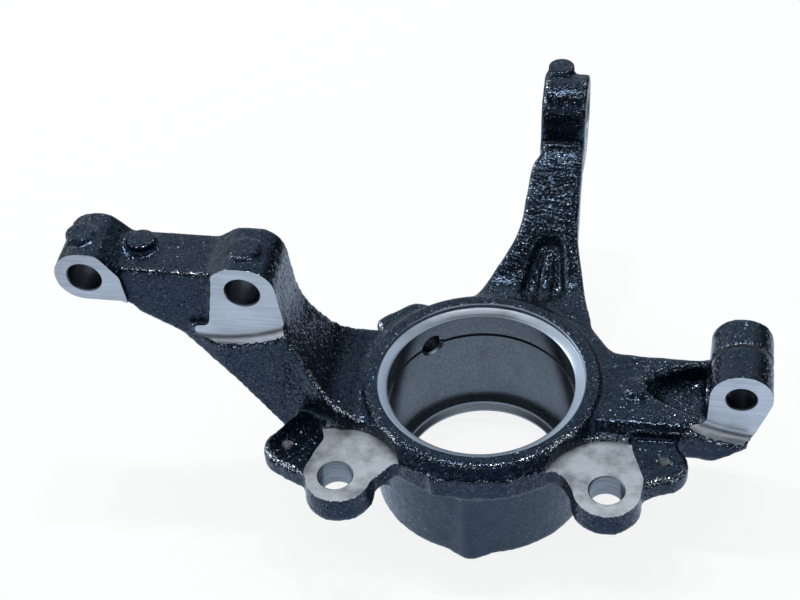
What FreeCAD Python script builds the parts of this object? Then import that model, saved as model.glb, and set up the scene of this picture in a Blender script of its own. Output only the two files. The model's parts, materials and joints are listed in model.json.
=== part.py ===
import FreeCAD, Part
import os

import Sketcher

# Steering knuckle: one iron casting with machined seats.
# Frame: the origin is the middle of the wheel bearing's seat. The features are drawn from the
# plane of the hub's cast rim, and the finished casting is then moved along the bearing axis.
# +Z points inboard along the bearing axis, +X points down to the ball joint, -X points up to the
# strut, +Y points along the steering arm and -Y to the brake caliper.

# Driving dimensions in millimetres, grouped by the feature that they belong to.
SIZES = {
    # hub and bearing seat
    "bearing_radius": 40,
    "hub_depth": 60,
    "hub_ring_radius": 49.5,
    "hub_shoulder_radius": 54,
    "hub_body_radius": 50,
    "hub_foot_radius": 47.5,
    "mouth_radius": 44.2,
    "mouth_step": 0.5,
    "mouth_step_width": 1,
    "mouth_chamfer_depth": 2.7,
    "circlip_depth": 14,
    "circlip_width": 1.8,
    "circlip_cut": 1.8,
    "lip_height": 4.4,
    "relief_radius": 36.8,
    "relief_height": 2.8,
    "lip_radius": 35,
    "nose_reach": 52.2,
    "nose_half_width": 10.5,
    "nose_round": 5,
    # flange plate
    "plate_top": -5,
    "plate_thickness": 11,
    "tab_left": -13.8,
    "tab_right": 18,
    "tab_left_front": -54.5,
    "tab_right_front": -52,
    "tab_round": 3,
    "notch_right_near": 24.5,
    "notch_right_far": 37,
    "notch_right_y": -41.5,
    "notch_left_near": -22,
    "notch_left_far": -29.5,
    "notch_left_y": -43.8,
    "notch_slant": 2.5,
    "notch_round": 8,
    "neck_left_x": -60.3,
    "neck_right_x": 64,
    # caliper lugs and dust shield ears
    "lug_left_x": -53.5,
    "lug_left_y": -54.3,
    "lug_right_x": 56.9,
    "lug_right_y": -50.2,
    "lug_radius": 13.6,
    "lug_left_shift": 1.2,
    "lug_draft": 0.9,
    "lug_face": -7,
    "lug_left_thickness": 13.2,
    "lug_right_thickness": 11.5,
    "lug_hole_radius": 7.1,
    "spot_radius": 26.3,
    "ear_left_x": -76.5,
    "ear_left_y": -40.1,
    "ear_right_x": 78.8,
    "ear_right_y": -33.2,
    "ear_radius": 10,
    "ear_face": -7.3,
    "ear_thickness": 9,
    "ear_hole_radius": 2.5,
    "ear_web_round": 5,
    "ear_web_drop": 6,
    # strut arm and its two-bolt ear
    "strut_upper_x": -160,
    "strut_lower_x": -94,
    "strut_upper_z": 57.5,
    "strut_lower_z": 54.9,
    "strut_hole_radius": 7.1,
    "strut_boss_radius": 12.5,
    "strut_crest": 6,
    "strut_slope": 9,
    "strut_front": 15,
    "strut_cast_front": 16,
    "strut_back": 12,
    "strut_web_front": 12.5,
    "strut_web_top": 61.2,
    "strut_lower_floor": 33.5,
    "strut_web_under": 45.5,
    "strut_mill_end": 17,
    "strut_mill_x": -109.7,
    "strut_mill_z": 98,
    "mill_radius": 71,
    "mill_reach": 25,
    "cutter_round": 4,
    "arm_front": 18.8,
    "arm_waist_x": -103.5,
    "arm_waist_z": 10.5,
    "arm_shin_x": -115.5,
    "arm_shin_z": 20.5,
    "arm_knee_x": -127,
    "arm_knee_z": 29,
    "arm_throat_x": -77.5,
    "arm_throat_z": 32,
    "arm_sweep_x": -63.5,
    "arm_sweep_z": 6.5,
    "flank_x": -117,
    "arm_foot_x": -72,
    "arm_foot_z": -37,
    "arm_root_x": -74,
    "arm_root_top": -3,
    "arm_sweep_round": 27,
    "arm_edge_round": 8,
    "arm_spread_back": 27,
    "arm_spread_front": 33,
    "arm_spread_x": -50,
    # steering arm and tie rod boss
    "tie_x": 23.2,
    "tie_y": 143.5,
    "tie_z": 31,
    "tie_boss_radius": 18,
    "tie_boss_width": 20.5,
    "tie_foot_radius": 14,
    "tie_foot_back": 6,
    "tie_foot_drop": 10,
    "tie_hole_radius": 6.2,
    "tie_hole_taper": 1.2,
    "tie_seat_radius": 11,
    "tie_seat_depth": 0.8,
    "steer_neck_half": 9.5,
    "steer_root_y": 46,
    "steer_root_left": -9,
    "steer_root_right": 44,
    "steer_waist_y": 84,
    "steer_waist_left": 7.5,
    "steer_flare": 3.6,
    "steer_waist_right": 34,
    "steer_top_root": -2,
    "steer_rise_y": 60,
    "steer_neck_y": 120,
    "steer_neck_top": 27,
    "steer_neck_under": 9,
    "steer_heel_y": 62,
    "steer_heel_z": -30,
    "steer_round": 14,
    "pocket_near_y": 51,
    "pocket_far_y": 82,
    "pocket_near_half": 10.5,
    "pocket_far_half": 5.5,
    "pocket_x": 20,
    "pocket_depth": 6,
    "pocket_round": 4.5,
    "pocket_rib_half": 3.4,
    "pocket_rib_drop": 2,
    # ball joint arm and pinch clamp
    "ball_arm_top": -2,
    "ball_arm_bottom": -19,
    "ball_arm_back": 22,
    "ball_arm_front": -22,
    "ball_arm_bevel": 5,
    "ball_arm_fillet": 9,
    "pinch_x": 108,
    "pinch_z": 13,
    "pinch_hole_radius": 6.1,
    "clamp_mill_x": 121,
    "clamp_mill_z": 60.5,
    "clamp_radius": 12.8,
    "clamp_front": 14,
    "clamp_back": 20.7,
    "clamp_wedge": 20,
    "clamp_bottom": -20,
    "clamp_toe_x": 114.3,
    "clamp_toe_rise": 11,
    "clamp_left_x": 94.5,
    "stud_radius": 9.5,
    "stud_y": 4.5,
    "stud_z": 0.5,
    "slot_width": 2,
    "scoop_start_x": 69,
    "scoop_y": 4.5,
    "scoop_start_half": 3.5,
    "scoop_end_half": 16,
    "scoop_round": 3,
    "scoop_floor": -12,
    # sensor boss
    "sensor_angle": 130,
    "sensor_z": -14.9,
    "sensor_reach": 61,
    "sensor_boss_left": 10.5,
    "sensor_boss_right": 17.4,
    "sensor_boss_top": -6.5,
    "sensor_boss_bottom": -26,
    "sensor_boss_round": 5,
    "sensor_hole_radius": 4.6,
    # round cast pads
    "pad_radius": 6,
    "strut_pad_rise": 1.7,
    "strut_pad_y": -3,
    "web_pad_offset": 20.5,
    "web_pad_y": 2.8,
    "upper_pad_offset": 2.7,
    "web_pad_rise": 3.8,
    "pad_height": 12,
    "ball_pad_x": 65.5,
    "ball_pad_y": 1.5,
    "ball_pad_radius": 4.8,
    "ball_pad_rise": 1.6,
    "tie_pad_offset": 9.5,
    "tie_pad_rise": 1.8,
}

doc = FreeCAD.newDocument("SteeringKnuckle")
sheet = doc.addObject("Spreadsheet::Sheet", "Sizes")
for row, (alias, value) in enumerate(SIZES.items(), start=1):
    sheet.set("A%d" % row, alias.replace("_", " "))
    sheet.set("B%d" % row, str(value))
    sheet.setAlias("B%d" % row, alias)
doc.recompute()

# Sketch lines start out on a circle of this size before their constraints place them.
START_CIRCLE = 60


def new_body(label):
    body = doc.addObject("PartDesign::Body", label)
    body.Label = label
    return body


def origin_plane(body, role):
    for feature in body.Origin.OriginFeatures:
        if feature.Role == role:
            return feature
    raise ValueError("no plane " + role)


def bind(target, place, text):
    """Binds one property or constraint to a formula over the sheet's cells."""
    target.setExpression(place, formula(text))


def formula(text):
    """Puts the sheet's name before each alias of a formula."""
    parts = []
    word = ""
    for letter in str(text) + " ":
        if letter.isalnum() or letter in "_.":
            word += letter
        else:
            parts.append("Sizes." + word if word in SIZES else word)
            parts.append(letter)
            word = ""
    return "".join(parts).strip()


def outline(body, role, name, corners):
    """A closed outline on one of the body's origin planes, one formula pair for each corner."""
    sketch = body.newObject("Sketcher::SketchObject", name)
    sketch.AttachmentSupport = [(origin_plane(body, role), "")]
    sketch.MapMode = "FlatFace"
    count = len(corners)
    turn = FreeCAD.Rotation(FreeCAD.Vector(0, 0, 1), 360.0 / count)
    start = [FreeCAD.Vector(START_CIRCLE, START_CIRCLE / 7.0, 0)]
    for step in range(count - 1):
        start.append(turn.multVec(start[-1]))
    for index in range(count):
        sketch.addGeometry(Part.LineSegment(start[index], start[(index + 1) % count]), False)
    for index in range(count):
        sketch.addConstraint(Sketcher.Constraint("Coincident", index, 2, (index + 1) % count, 1))
    for index, (along, up) in enumerate(corners):
        point = start[index]
        for kind, text, value in (("DistanceX", along, point.x), ("DistanceY", up, point.y)):
            number = sketch.addConstraint(Sketcher.Constraint(kind, -1, 1, index, 1, value))
            bind(sketch, "Constraints[%d]" % number, text)
    doc.recompute()
    return sketch


def pad(body, sketch, ahead, behind, kind="PartDesign::Pad"):
    """Pads or pockets the outline ahead along its normal and behind it, as formulas."""
    feature = body.newObject(kind, sketch.Name + "_solid")
    feature.Profile = sketch
    feature.SideType = "Two sides"
    bind(feature, "Length", ahead)
    bind(feature, "Length2", behind)
    doc.recompute()
    return feature


def corner_edge(shape, point, normal):
    """Name of the edge that runs along the normal through a corner of the outline."""
    best = None
    for index, edge in enumerate(shape.Edges, start=1):
        if not isinstance(edge.Curve, Part.Line):
            continue
        ends = [vertex.Point for vertex in edge.Vertexes]
        if (ends[1] - ends[0]).normalize().cross(normal).Length > 1e-6:
            continue
        offset = ends[0] - point
        gap = (offset - normal * offset.dot(normal)).Length
        if gap < 1e-4 and (best is None or edge.Length > best[0]):
            best = (edge.Length, "Edge%d" % index)
    if best is None:
        raise ValueError("no edge at corner")
    return best[1]


def round_corners(body, sketch, radii):
    """Fillets the padded corners, radii being {formula: corner numbers}."""
    normal = sketch.Placement.Rotation.multVec(FreeCAD.Vector(0, 0, 1))
    corners = [sketch.Placement.multVec(sketch.getPoint(number, 1))
               for number in range(len(sketch.Geometry))]
    for text, numbers in radii.items():
        base = body.Tip
        names = [corner_edge(base.Shape, corners[number], normal) for number in numbers]
        fillet = body.newObject("PartDesign::Fillet", sketch.Name + "_round")
        fillet.Base = (base, names)
        bind(fillet, "Radius", text)
        doc.recompute()


def prism(label, role, corners, ahead, behind, radii=None):
    """A body padded from one outline with rounded corners."""
    body = new_body(label)
    sketch = outline(body, role, label + "_outline", corners)
    pad(body, sketch, ahead, behind)
    if radii:
        round_corners(body, sketch, radii)
    return body


def turned(label, corners):
    """A body revolved about the bearing axis from its half section."""
    body = new_body(label)
    sketch = outline(body, "XZ_Plane", label + "_section", corners)
    turn = body.newObject("PartDesign::Revolution", label + "_turned")
    turn.Profile = sketch
    turn.ReferenceAxis = (sketch, ["V_Axis"])
    turn.Angle = 360
    doc.recompute()
    return body


# Directions for round features: the cylinder's own axis starts as +Z.
ALONG = {
    "z": FreeCAD.Rotation(),
    "y": FreeCAD.Rotation(FreeCAD.Vector(1, 0, 0), -90),
    "x": FreeCAD.Rotation(FreeCAD.Vector(0, 1, 0), 90),
}


def place(item, axis, position):
    item.Placement = FreeCAD.Placement(FreeCAD.Vector(0, 0, 0), ALONG[axis])
    for letter, text in zip("xyz", position):
        bind(item, ".Placement.Base." + letter, text)


def cylinder(label, axis, radius, height, position):
    item = doc.addObject("Part::Cylinder", label)
    item.Label = label
    bind(item, "Radius", radius)
    bind(item, "Height", height)
    place(item, axis, position)
    return item


def cone(label, axis, first_radius, last_radius, height, position):
    item = doc.addObject("Part::Cone", label)
    item.Label = label
    bind(item, "Radius1", first_radius)
    bind(item, "Radius2", last_radius)
    bind(item, "Height", height)
    place(item, axis, position)
    return item


def combine(kind, label, items):
    item = doc.addObject(kind, label)
    item.Label = label
    item.Shapes = items
    item.Refine = False
    doc.recompute()
    return item


def hub_form():
    """Turned outer form of the hub with its rim ring, and the ridge down its front."""
    hub = turned("hub", [
        ("0", "0"),
        ("hub_ring_radius", "0"),
        ("hub_shoulder_radius", "plate_top"),
        ("hub_shoulder_radius", "plate_top - plate_thickness"),
        ("hub_body_radius", "plate_top - plate_thickness - 4"),
        ("hub_foot_radius", "-hub_depth"),
        ("0", "-hub_depth"),
    ])
    nose = prism("nose_ridge", "XY_Plane", [
        ("-nose_half_width", "-hub_foot_radius + 4"),
        ("-nose_half_width", "-hub_foot_radius + 1.2"),
        ("0", "-nose_reach"),
        ("nose_half_width", "-hub_foot_radius + 1.2"),
        ("nose_half_width", "-hub_foot_radius + 4"),
    ], "plate_top - plate_thickness / 2", "hub_depth", {"nose_round": [2]})
    return [hub, nose]


def plate_form():
    """Flange plate with its front tab and two scallops, and the lower webs out to the ears."""
    plate = prism("flange_plate", "XY_Plane", [
        ("tab_left", "tab_left_front"),
        ("tab_right", "tab_right_front"),
        ("notch_right_near", "notch_right_y - notch_slant"),
        ("notch_right_far", "notch_right_y"),
        ("lug_right_x - lug_radius + 2", "lug_right_y - 5"),
        ("lug_right_x", "lug_right_y - 5"),
        ("lug_right_x + lug_radius - 2", "lug_right_y - 2"),
        ("lug_right_x + lug_radius - 0.4", "lug_right_y + 7"),
        ("neck_right_x", "ear_right_y + 6"),
        ("neck_right_x", "ear_right_y + 12"),
        ("ball_pad_x", "0"),
        ("0", "hub_body_radius - 6"),
        ("arm_root_x + 20", "10"),
        ("neck_left_x - 3", "ear_left_y + 13"),
        ("neck_left_x", "ear_left_y + 5"),
        ("lug_left_x - lug_radius + 3", "lug_left_y + 9"),
        ("lug_left_x - lug_radius + 4", "lug_left_y + 2"),
        ("lug_left_x", "lug_left_y - 5"),
        ("lug_left_x + lug_radius - 2", "lug_left_y - 5.5"),
        ("notch_left_far", "notch_left_y"),
        ("notch_left_near", "notch_left_y - notch_slant / 2"),
    ], "plate_top", "plate_thickness - plate_top", {
        "tab_round": [0, 1],
        "notch_round": [2, 3],
        "notch_round * 0.75": [19, 20],
    })
    web_right = prism("ear_web_right", "XY_Plane", [
        ("hub_body_radius - 10", "lug_right_y + 4"),
        ("lug_right_x", "lug_right_y - ear_web_drop"),
        ("ear_right_x", "ear_right_y - ear_radius"),
        ("ear_right_x + ear_radius", "ear_right_y"),
        ("ear_right_x + ear_radius - 5", "ball_arm_front"),
        ("hub_body_radius - 10", "0"),
    ], "ear_face", "ear_thickness - ear_face", {"ear_web_round": [2, 3]})
    web_left = prism("ear_web_left", "XY_Plane", [
        ("10 - hub_body_radius", "lug_left_y + 4"),
        ("lug_left_x", "lug_left_y - ear_web_drop"),
        ("ear_left_x", "ear_left_y - ear_radius - 1.5"),
        ("ear_left_x - ear_radius", "ear_left_y"),
        ("ear_left_x - ear_radius + 6", "ear_left_y + ear_radius + 2"),
        ("arm_root_x + 14", "0"),
        ("10 - hub_body_radius", "0"),
    ], "ear_face", "ear_thickness - ear_face", {"ear_web_round": [2, 3, 4]})
    return [plate, web_right, web_left]


def round_bosses():
    """Caliper lugs and dust shield ears, each a short boss round its hole."""
    bosses = []
    for side in ("left", "right"):
        shift = " + lug_left_shift" if side == "left" else ""
        bosses.append(cone("lug_" + side, "z", "lug_radius + lug_draft", "lug_radius",
                           "lug_%s_thickness + plate_top - lug_face" % side,
                           ("lug_%s_x" % side + shift, "lug_%s_y" % side,
                            "lug_face - lug_%s_thickness" % side)))
        bosses.append(cylinder("ear_" + side, "z", "ear_radius", "ear_thickness",
                               ("ear_%s_x" % side, "ear_%s_y" % side, "ear_face - ear_thickness")))
    return bosses


def strut_arm_form():
    """Arm up to the strut: its side profile, trimmed to its outline seen along the bearing axis."""
    side = prism("strut_arm_side", "XZ_Plane", [
        ("strut_upper_x - strut_boss_radius", "strut_upper_z + strut_boss_radius"),
        ("strut_upper_x + strut_crest", "strut_upper_z + strut_boss_radius"),
        ("strut_upper_x + strut_crest + strut_slope", "strut_web_top"),
        ("strut_lower_x - strut_crest - strut_slope", "strut_web_top"),
        ("strut_lower_x - strut_crest", "strut_lower_z + strut_boss_radius"),
        ("strut_lower_x + strut_boss_radius", "strut_lower_z + strut_boss_radius"),
        ("arm_throat_x", "arm_throat_z"),
        ("arm_sweep_x", "arm_sweep_z"),
        ("arm_sweep_x + 16", "arm_root_top"),
        ("0", "arm_root_top"),
        ("0", "arm_foot_z"),
        ("arm_foot_x", "arm_foot_z"),
        ("arm_waist_x", "arm_waist_z"),
        ("arm_shin_x", "arm_shin_z"),
        ("arm_knee_x", "arm_knee_z"),
        ("strut_upper_x + strut_mill_end + 2", "strut_web_under - 8"),
        ("strut_upper_x + strut_mill_end - 2", "strut_web_under"),
        ("strut_upper_x - strut_boss_radius", "strut_web_under"),
    ], "arm_spread_front", "arm_spread_back", {
        "strut_boss_radius * 0.98": [0],
        "strut_boss_radius * 0.92": [5, 17],
        "5": [1, 2, 3, 4],
        "arm_sweep_round * 1.5": [6],
        "arm_sweep_round": [7],
        "arm_sweep_round * 0.6": [8],
        "arm_edge_round": [11, 12, 13, 14],
    })
    plan = prism("strut_arm_plan", "XY_Plane", [
        ("strut_upper_x - strut_boss_radius - 2", "-strut_cast_front"),
        ("strut_upper_x + strut_mill_end + 1.5", "-strut_cast_front"),
        ("strut_upper_x + strut_mill_end + 3.5", "-strut_web_front"),
        ("flank_x - 6", "-strut_web_front"),
        ("flank_x + 12", "-arm_front"),
        ("arm_root_x + 3", "-arm_front"),
        ("arm_spread_x", "-arm_spread_front"),
        ("0", "-arm_spread_front"),
        ("0", "arm_spread_back"),
        ("arm_spread_x + 2", "arm_spread_back"),
        ("arm_root_x - 1", "strut_back"),
        ("strut_upper_x - strut_boss_radius - 2", "strut_back"),
    ], "strut_upper_z + 2 * strut_boss_radius", "hub_depth", {
        "arm_sweep_round": [5],
        "arm_sweep_round * 0.8": [10],
        "arm_edge_round": [3, 4],
    })
    return [combine("Part::MultiCommon", "strut_arm", [side, plan])]


def steering_arm_form():
    """Steering arm rising to the tie rod boss: side profile trimmed to its plan outline."""
    side = prism("steering_arm_side", "YZ_Plane", [
        ("hub_ring_radius - 20", "steer_top_root"),
        ("steer_rise_y", "steer_top_root"),
        ("steer_neck_y", "steer_neck_top"),
        ("tie_y", "steer_neck_top"),
        ("tie_y", "steer_neck_under"),
        ("steer_neck_y - 6", "steer_neck_under"),
        ("steer_heel_y", "steer_heel_z"),
        ("hub_ring_radius - 20", "steer_heel_z"),
    ], "steer_root_right + 10", "10 - steer_root_left", {
        "steer_round": [1, 2],
        "steer_round * 1.5": [5, 6],
    })
    plan = prism("steering_arm_plan", "XY_Plane", [
        ("steer_root_left", "hub_ring_radius - 20"),
        ("steer_root_right", "hub_ring_radius - 20"),
        ("steer_root_right", "steer_root_y - 8"),
        ("steer_waist_right", "steer_waist_y"),
        ("tie_x + steer_neck_half", "tie_y"),
        ("tie_x - steer_neck_half", "tie_y"),
        ("tie_x - steer_neck_half", "steer_neck_y"),
        ("tie_x - steer_neck_half - steer_flare", "steer_neck_y - steer_flare * 1.6"),
        ("steer_waist_left", "steer_waist_y"),
        ("steer_root_left", "steer_root_y + 8"),
    ], "tie_z + tie_boss_radius", "hub_depth", {
        "steer_round * 2": [3, 9],
        "steer_round / 4": [6, 7],
        "steer_round * 3": [8],
    })
    arm = combine("Part::MultiCommon", "steering_arm", [side, plan])
    boss = cylinder("tie_rod_boss", "x", "tie_boss_radius", "tie_boss_width",
                    ("tie_x - tie_boss_width / 2", "tie_y", "tie_z"))
    foot = cylinder("tie_rod_boss_foot", "x", "tie_foot_radius", "tie_boss_width",
                    ("tie_x - tie_boss_width / 2", "tie_y - tie_foot_back", "tie_z - tie_foot_drop"))
    return [arm, boss, foot]


def ball_arm_form():
    """Arm down to the ball joint with the pinch clamp across its end."""
    arm = prism("ball_arm", "XY_Plane", [
        ("0", "ball_arm_front"),
        ("clamp_left_x + 4", "ball_arm_front + 2"),
        ("clamp_left_x + 4", "ball_arm_back"),
        ("hub_shoulder_radius", "ball_arm_back"),
        ("steer_root_right - 6", "steer_root_y"),
        ("0", "steer_root_y"),
    ], "ball_arm_top", "-ball_arm_bottom", {"ball_arm_fillet": [3]})
    bevel = prism("ball_arm_bevel", "YZ_Plane", [
        ("ball_arm_front - ball_arm_bevel", "plate_top * 2 - ball_arm_top"),
        ("ball_arm_front + ball_arm_bevel", "ball_arm_top"),
        ("ball_arm_front + ball_arm_bevel", "ball_arm_top + ball_arm_bevel"),
        ("ball_arm_front - ball_arm_bevel", "ball_arm_top + ball_arm_bevel"),
    ], "clamp_left_x + 10", "1")
    bevelled = doc.addObject("Part::Cut", "bevelled_ball_arm")
    bevelled.Base = arm
    bevelled.Tool = bevel
    bevelled.Refine = False
    clamp = prism("pinch_clamp", "XZ_Plane", [
        ("clamp_left_x", "clamp_bottom"),
        ("clamp_left_x + 4.5", "clamp_bottom"),
        ("clamp_toe_x", "clamp_bottom + clamp_toe_rise"),
        ("pinch_x + clamp_radius", "pinch_z - 2"),
        ("pinch_x + clamp_radius", "pinch_z + clamp_radius"),
        ("pinch_x - clamp_radius", "pinch_z + clamp_radius"),
        ("pinch_x - clamp_radius", "0"),
        ("clamp_left_x", "-3"),
    ], "clamp_wedge", "clamp_back", {
        "clamp_radius * 0.98": [4, 5],
        "5": [1, 3],
    })
    return [bevelled, clamp]


def sensor_boss_form():
    """Block on the back of the hub that the wheel speed sensor's hole runs through."""
    block = prism("sensor_boss", "XY_Plane", [
        ("hub_body_radius - 8", "-sensor_boss_left"),
        ("sensor_reach - 9", "-sensor_boss_left"),
        ("sensor_reach", "-sensor_boss_left / 2"),
        ("sensor_reach", "sensor_boss_right - 2.5"),
        ("sensor_reach - 2.5", "sensor_boss_right"),
        ("hub_body_radius - 8", "sensor_boss_right"),
    ], "sensor_boss_top", "-sensor_boss_bottom", {"sensor_boss_round": [1, 2]})
    bind(block, ".Placement.Rotation.Angle", "sensor_angle")
    return block


def radial(label, radius, length):
    """A cylinder out from the bearing axis along the sensor's direction."""
    item = doc.addObject("Part::Cylinder", label)
    item.Label = label
    bind(item, "Radius", radius)
    bind(item, "Height", length)
    item.Placement = FreeCAD.Placement(FreeCAD.Vector(0, 0, 0), ALONG["x"])
    bind(item, ".Placement.Rotation.Axis.x", "-sin(sensor_angle)")
    bind(item, ".Placement.Rotation.Axis.y", "cos(sensor_angle)")
    bind(item, ".Placement.Base.z", "sensor_z")
    return item


def pad_forms():
    """Round raised pads on the cast faces that look inboard."""
    places = {
        "strut_pad_upper": ("strut_upper_x - upper_pad_offset", "strut_pad_y",
                            "strut_upper_z + strut_boss_radius + strut_pad_rise"),
        "strut_pad_web": ("strut_upper_x + web_pad_offset", "web_pad_y", "strut_web_top + web_pad_rise"),
        "strut_pad_lower": ("strut_lower_x", "strut_pad_y",
                            "strut_lower_z + strut_boss_radius + strut_pad_rise"),
        "ball_pad": ("ball_pad_x", "ball_pad_y", "ball_arm_top + ball_pad_rise"),
        "tie_pad": ("tie_x - 3", "tie_y + tie_pad_offset", "tie_z + tie_boss_radius + tie_pad_rise"),
    }
    pads = []
    for label, (along, across, top) in places.items():
        radius = "ball_pad_radius" if label == "ball_pad" else "pad_radius"
        pads.append(cylinder(label, "z", radius, "pad_height",
                             (along, across, top + " - pad_height")))
    return pads


def face_cutter(label, position):
    """The face mill with its rounded rim: its flat end, at the position, looks along +Y."""
    along, front, up = position
    behind = (along, "%s - cutter_round" % front, up)
    core = cylinder(label + "_core", "y", "mill_radius - cutter_round", "mill_reach", position)
    disc = cylinder(label + "_disc", "y", "mill_radius", "mill_reach", behind)
    rim = doc.addObject("Part::Torus", label + "_rim")
    bind(rim, "Radius1", "mill_radius - cutter_round")
    bind(rim, "Radius2", "cutter_round")
    place(rim, "y", behind)
    for item in (core, disc, rim):
        item.Placement.Rotation = FreeCAD.Rotation(FreeCAD.Vector(1, 0, 0), 90)
    return combine("Part::MultiFuse", label, [core, disc, rim])


def bearing_void():
    """Turned void: rim step, mouth chamfer, circlip groove, bearing seat, relief and lip."""
    return turned("bearing_void", [
        ("0", "bearing_radius"),
        ("mouth_radius", "bearing_radius"),
        ("mouth_radius", "-mouth_step"),
        ("mouth_radius - mouth_step_width", "-mouth_step"),
        ("bearing_radius", "-mouth_chamfer_depth"),
        ("bearing_radius", "-circlip_depth"),
        ("bearing_radius + circlip_cut", "-circlip_depth"),
        ("bearing_radius + circlip_cut", "-circlip_depth - circlip_width"),
        ("bearing_radius", "-circlip_depth - circlip_width"),
        ("bearing_radius", "lip_height - hub_depth"),
        ("relief_radius", "lip_height - hub_depth"),
        ("relief_radius", "relief_height - hub_depth"),
        ("lip_radius", "relief_height - hub_depth - (relief_radius - lip_radius)"),
        ("lip_radius", "-hub_depth - bearing_radius"),
        ("0", "-hub_depth - bearing_radius"),
    ])


def lug_cuts():
    """Spot faces and bolt holes of the caliper lugs, and the tapped holes of the ears."""
    cuts = []
    for side in ("left", "right"):
        lug = ("lug_%s_x" % side, "lug_%s_y" % side)
        ear = ("ear_%s_x" % side, "ear_%s_y" % side)
        thickness = "lug_%s_thickness" % side
        cuts.append(cylinder("spot_face_" + side, "z", "spot_radius", thickness, lug + ("lug_face",)))
        cuts.append(cylinder("lug_hole_" + side, "z", "lug_hole_radius", thickness + " * 2",
                             lug + ("lug_face - %s * 1.5" % thickness,)))
        cuts.append(cylinder("ear_hole_" + side, "z", "ear_hole_radius", "ear_thickness * 2",
                             ear + ("ear_face - ear_thickness * 1.5",)))
    return cuts


def strut_cuts():
    """Bolt holes, milled faces and the recessed web of the strut ear."""
    cuts = []
    for side in ("upper", "lower"):
        axis = ("strut_%s_x" % side, "-arm_spread_front", "strut_%s_z" % side)
        cuts.append(cylinder("strut_hole_" + side, "y", "strut_hole_radius",
                             "arm_spread_front + arm_spread_back", axis))
    cuts.append(prism("upper_face_mill", "XZ_Plane", [
        ("strut_upper_x - 2 * strut_boss_radius", "strut_web_under - 2 * cutter_round"),
        ("strut_upper_x + strut_mill_end", "strut_web_under - 2 * cutter_round"),
        ("strut_upper_x + strut_mill_end", "strut_upper_z + 2 * strut_boss_radius"),
        ("strut_upper_x - 2 * strut_boss_radius", "strut_upper_z + 2 * strut_boss_radius"),
    ], "arm_spread_front + 5", "-strut_front"))
    cuts.append(prism("web_recess", "XZ_Plane", [
        ("strut_upper_x + strut_mill_end + 1.5", "strut_lower_floor - 10"),
        ("flank_x - 6", "strut_lower_floor - 10"),
        ("flank_x - 1", "strut_lower_floor + 1"),
        ("strut_lower_x - strut_boss_radius - 3.8", "strut_lower_floor + 1"),
        ("strut_lower_x - strut_boss_radius", "strut_lower_z + 4"),
        ("strut_lower_x - strut_boss_radius", "strut_upper_z + 2 * strut_boss_radius"),
        ("strut_upper_x + 3", "strut_upper_z + 2 * strut_boss_radius"),
        ("strut_upper_x + 8.5", "strut_upper_z + 10"),
        ("strut_upper_x + 15", "strut_upper_z + 1"),
    ], "arm_spread_front + 5", "-strut_web_front"))
    cuts.append(face_cutter("strut_face_mill", ("strut_mill_x", "-strut_front", "strut_mill_z")))
    return cuts


def steering_cuts():
    """Rounded pocket with its raised rib in the arm's root, and the tie rod seat and bore."""
    plan = prism("arm_pocket_plan", "XY_Plane", [
        ("pocket_x - pocket_near_half", "pocket_near_y + 5"),
        ("pocket_x", "pocket_near_y - 2"),
        ("pocket_x + pocket_near_half", "pocket_near_y + 5"),
        ("pocket_x + pocket_far_half + 2", "pocket_far_y"),
        ("pocket_x - pocket_far_half + 2", "pocket_far_y"),
    ], "steer_neck_top", "hub_ring_radius", {
        "pocket_round": [0, 1, 2],
        "pocket_far_half * 0.85": [3, 4],
    })
    rib = prism("arm_pocket_rib", "XY_Plane", [
        ("pocket_x - pocket_rib_half", "pocket_near_y - 10"),
        ("pocket_x + pocket_rib_half", "pocket_near_y - 10"),
        ("pocket_x + 3.5", "pocket_far_y - 4"),
        ("pocket_x + 0.5", "pocket_far_y - 4"),
    ], "steer_neck_top + 5", "hub_ring_radius + 5")
    ditch = doc.addObject("Part::Cut", "arm_pocket_ditch")
    ditch.Base = plan
    ditch.Tool = rib
    deep = above_arm("arm_pocket_deep", "pocket_depth")
    shallow = above_arm("arm_pocket_shallow", "pocket_rib_drop")
    doc.recompute()
    taper = cone("tie_rod_bore", "x", "tie_hole_radius", "tie_hole_radius + tie_hole_taper",
                 "tie_boss_width + 2", ("tie_x - tie_boss_width / 2 - 1", "tie_y", "tie_z"))
    seat = cylinder("tie_rod_seat", "x", "tie_seat_radius", "tie_boss_width",
                    ("tie_x + tie_boss_width / 2 - tie_seat_depth", "tie_y", "tie_z"))
    return [combine("Part::MultiCommon", "arm_pocket", [ditch, deep]),
            combine("Part::MultiCommon", "arm_pocket_crest", [plan, shallow]), taper, seat]


def above_arm(label, drop):
    """Everything above the steering arm's top line, lowered by the drop."""
    return prism(label, "YZ_Plane", [
        ("0", "steer_top_root - (%s)" % drop),
        ("steer_rise_y", "steer_top_root - (%s)" % drop),
        ("steer_neck_y", "steer_neck_top - (%s)" % drop),
        ("steer_neck_y", "steer_neck_top + 20"),
        ("0", "steer_neck_top + 20"),
    ], "steer_root_right + 20", "20 - steer_root_left", {"steer_round": [1]})


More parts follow.
